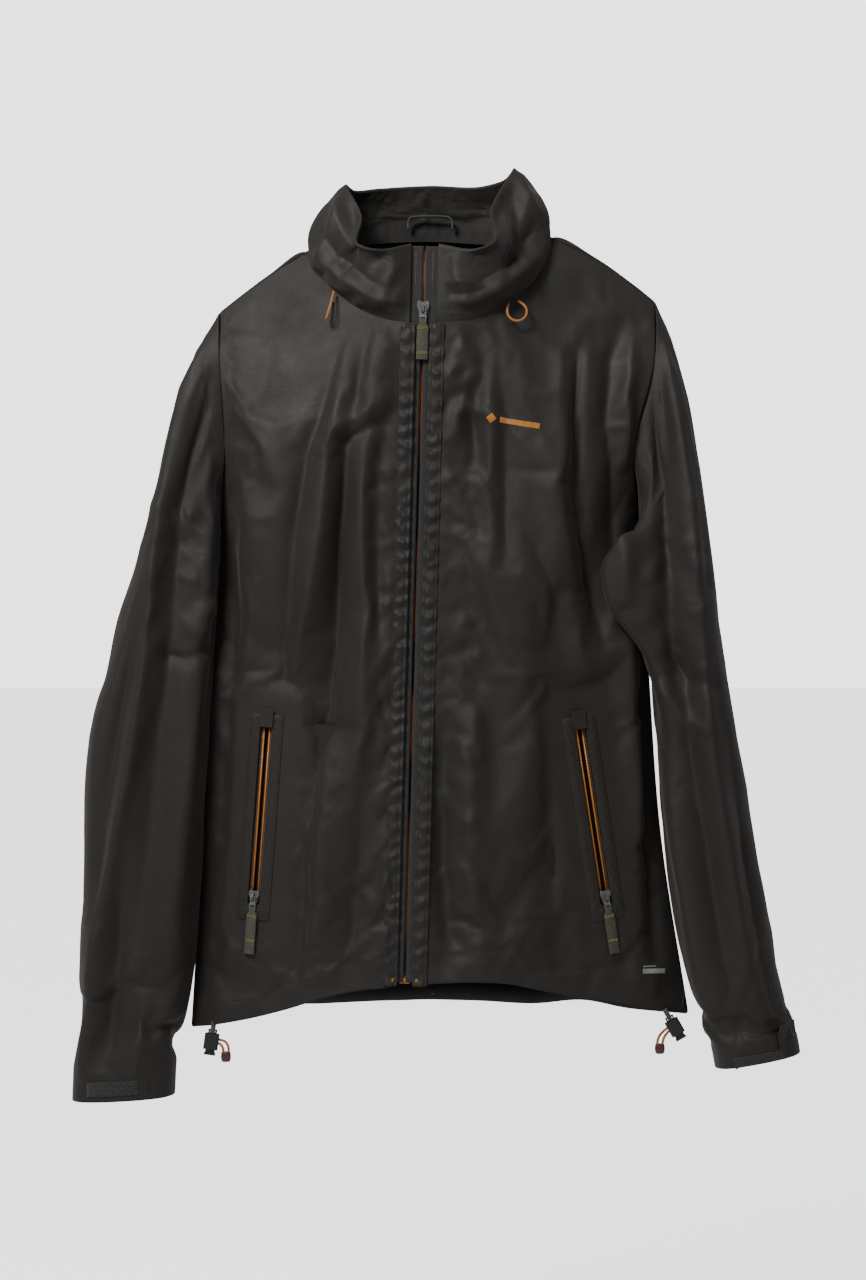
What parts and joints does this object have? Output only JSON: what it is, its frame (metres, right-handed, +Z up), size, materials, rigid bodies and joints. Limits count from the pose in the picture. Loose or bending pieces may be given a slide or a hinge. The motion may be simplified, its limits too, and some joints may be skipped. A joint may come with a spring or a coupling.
{
  "type": "hardshell jacket",
  "caption": "Zip-front waterproof shell jacket with a stand collar, zipped hand pockets, hook-and-loop cuff tabs and a dropped drawcord hem, hanging by its loop.",
  "frame": {"origin": "top of the hang loop, inside the back neck, on the jacket's middle line", "axes": "+Z up along the hanging jacket, front facing -Y, the wearer's left towards +X"},
  "size_m": [0.6573, 0.122, 0.844],
  "materials": {
    "shell": "satin three-layer shell cloth",
    "backer": "matt inner face",
    "zip_tape": "woven tape",
    "zip_coil": "orange nylon coil",
    "slider_metal": "grey enamelled zinc",
    "zip_fittings": "moulded",
    "ribbon": "olive grosgrain",
    "loop_strip": "soft loop pile",
    "cord": "braided elastic cord",
    "cord_lock": "moulded black",
    "spring_steel": "wire",
    "bead": "dark red-brown",
    "loop_tape": "woven tape",
    "label": "plain woven patch",
    "chest_mark": "orange thread",
    "hem_mark": "light grey thread"
  },
  "bodies": {
    "root": {"back_panel": "shell", "front_panel_left": "shell", "front_panel_right": "shell", "sleeve_head_left": "shell", "sleeve_head_right": "shell", "collar_outer": "shell", "collar_lining": "backer", "storm_flap_left": "shell", "storm_flap_right": "shell", "zip_tape_left": "zip_tape", "zip_tape_right": "zip_tape", "zip_coil_left": "zip_coil", "zip_coil_right": "zip_coil", "zip_top_stops": "slider_metal", "zip_insertion_pin": "zip_fittings", "zip_retainer_box": "zip_fittings", "pocket_welt_left": "shell", "pocket_welt_right": "shell", "pocket_garage_left": "shell", "pocket_garage_right": "shell", "pocket_bag_left": "backer", "pocket_bag_right": "backer", "pocket_zip_tape_left": "zip_tape", "pocket_zip_tape_right": "zip_tape", "pocket_zip_coil_left": "zip_coil", "pocket_zip_coil_right": "zip_coil", "hem_drawcord": "cord", "hem_anchor_tab_left": "shell", "hem_anchor_tab_right": "shell", "hem_lock_body_left": "cord_lock", "hem_lock_body_right": "cord_lock", "hem_lock_spring_left": "spring_steel", "hem_lock_spring_right": "spring_steel", "hem_cord_loop_left": "cord", "hem_cord_loop_right": "cord", "hem_cord_bead_left": "bead", "hem_cord_bead_right": "bead", "collar_cord_left": "cord", "collar_cord_right": "cord", "hang_loop": "loop_tape", "neck_label": "label", "chest_mark": "chest_mark", "hem_mark": "hem_mark"},
    "sleeve_left": {"sleeve_left": "shell", "cuff_loop_strip_left": "loop_strip"},
    "sleeve_right": {"sleeve_right": "shell", "cuff_loop_strip_right": "loop_strip"},
    "cuff_tab_left": {"cuff_tab_left": "shell"},
    "cuff_tab_right": {"cuff_tab_right": "shell"},
    "center_slider": {"center_slider": "slider_metal"},
    "center_pull": {"center_pull_tab": "slider_metal", "center_pull_ribbon": "ribbon"},
    "pocket_slider_left": {"pocket_slider_left": "slider_metal"},
    "pocket_slider_right": {"pocket_slider_right": "slider_metal"},
    "pocket_pull_left": {"pocket_pull_tab_left": "slider_metal", "pocket_pull_ribbon_left": "ribbon"},
    "pocket_pull_right": {"pocket_pull_tab_right": "slider_metal", "pocket_pull_ribbon_right": "ribbon"},
    "hem_button_left": {"hem_lock_button_left": "cord_lock"},
    "hem_button_right": {"hem_lock_button_right": "cord_lock"}
  },
  "joints": [
    {"name": "center_zip_slide", "type": "slide", "parent": "root", "child": "center_slider", "axis": [0.0274, 0.0236, 0.9993], "range_m": [-0.583, 0.044]},
    {"name": "center_pull_swing", "type": "hinge", "parent": "center_slider", "child": "center_pull", "pos_m": [-0.00604, -0.08513, -0.09631], "axis": [-0.9996, 0, 0.0274], "range_deg": [0, 150]},
    {"name": "pocket_zip_slide_left", "type": "slide", "parent": "root", "child": "pocket_slider_left", "axis": [-0.1519, -0.0428, 0.9875], "range_m": [0, 0.144]},
    {"name": "pocket_pull_swing_left", "type": "hinge", "parent": "pocket_slider_left", "child": "pocket_pull_left", "pos_m": [0.15786, -0.07282, -0.62149], "axis": [-0.9504, -0.2679, -0.1578], "range_deg": [0, 150]},
    {"name": "hem_lock_press_left", "type": "slide", "parent": "root", "child": "hem_button_left", "axis": [-0.5, 0, 0.866], "range_m": [0, 0.003], "stiffness_N_per_m": 400, "deforming": ["hem_lock_spring_left"]},
    {"name": "sleeve_swing_left", "type": "hinge", "parent": "root", "child": "sleeve_left", "pos_m": [0.193, -0.036, -0.296], "axis": [0, -1, 0], "range_deg": [0, 30]},
    {"name": "cuff_tab_peel_left", "type": "hinge", "parent": "sleeve_left", "child": "cuff_tab_left", "pos_m": [0.33189, -0.04986, -0.74628], "axis": [-0.1372, -0.0268, 0.9902], "range_deg": [0, 130]},
    {"name": "pocket_zip_slide_right", "type": "slide", "parent": "root", "child": "pocket_slider_right", "axis": [0.0735, -0.0207, 0.9971], "range_m": [0, 0.144]},
    {"name": "pocket_pull_swing_right", "type": "hinge", "parent": "pocket_slider_right", "child": "pocket_pull_right", "pos_m": [-0.15832, -0.07268, -0.6215], "axis": [-0.9597, 0.2705, 0.0764], "range_deg": [0, 150]},
    {"name": "hem_lock_press_right", "type": "slide", "parent": "root", "child": "hem_button_right", "axis": [0.1392, 0, 0.9903], "range_m": [0, 0.003], "stiffness_N_per_m": 400, "deforming": ["hem_lock_spring_right"]},
    {"name": "sleeve_swing_right", "type": "hinge", "parent": "root", "child": "sleeve_right", "pos_m": [-0.193, -0.036, -0.296], "axis": [0, 1, 0], "range_deg": [0, 30]},
    {"name": "cuff_tab_peel_right", "type": "hinge", "parent": "sleeve_right", "child": "cuff_tab_right", "pos_m": [-0.23048, -0.04409, -0.78726], "axis": [0.0318, -0.0538, 0.998], "range_deg": [0, 130]}
  ]
}
